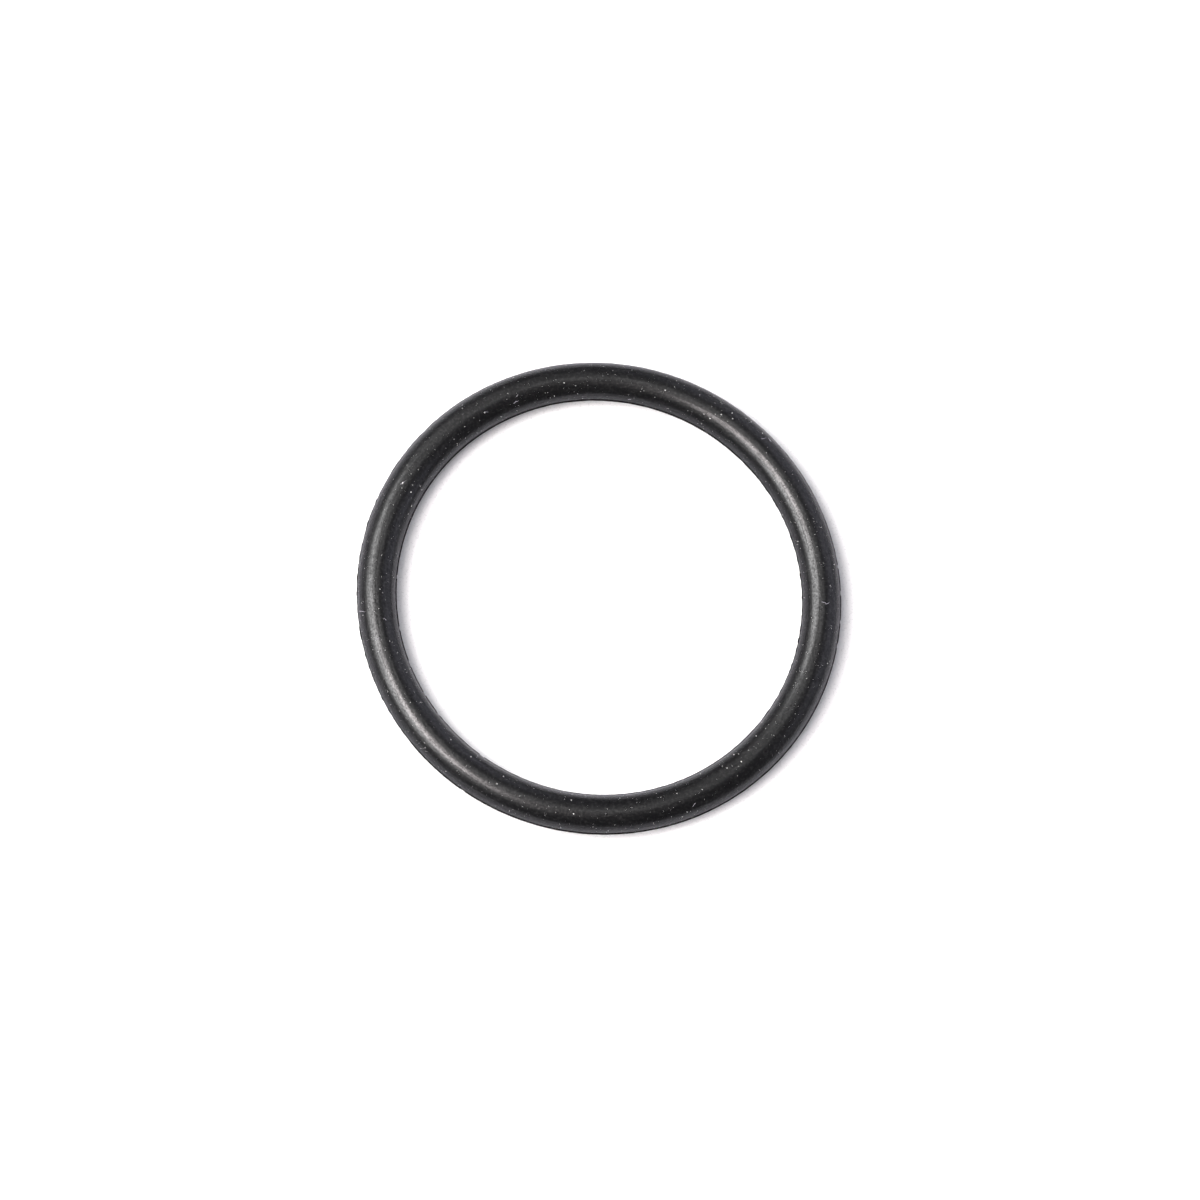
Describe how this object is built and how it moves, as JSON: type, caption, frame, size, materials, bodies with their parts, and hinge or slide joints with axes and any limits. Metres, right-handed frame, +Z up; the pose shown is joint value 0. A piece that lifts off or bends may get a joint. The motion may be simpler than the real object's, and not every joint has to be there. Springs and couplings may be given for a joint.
{
  "type": "rubber o-ring",
  "caption": "Moulded rubber seal ring with a round section and a thin lip of flash at its parting line, inside and outside.",
  "frame": {"origin": "centre of the ring, in the plane where the two halves of its mould meet", "axes": "+Z along the ring's axis; the ring lies flat with +Z up, and +X is to the right in the picture"},
  "size_m": [0.045, 0.045, 0.0036],
  "materials": {
    "rubber": "near-black moulded rubber, satin, with light dust"
  },
  "bodies": {
    "root": {"o_ring": "rubber"}
  },
  "joints": []
}
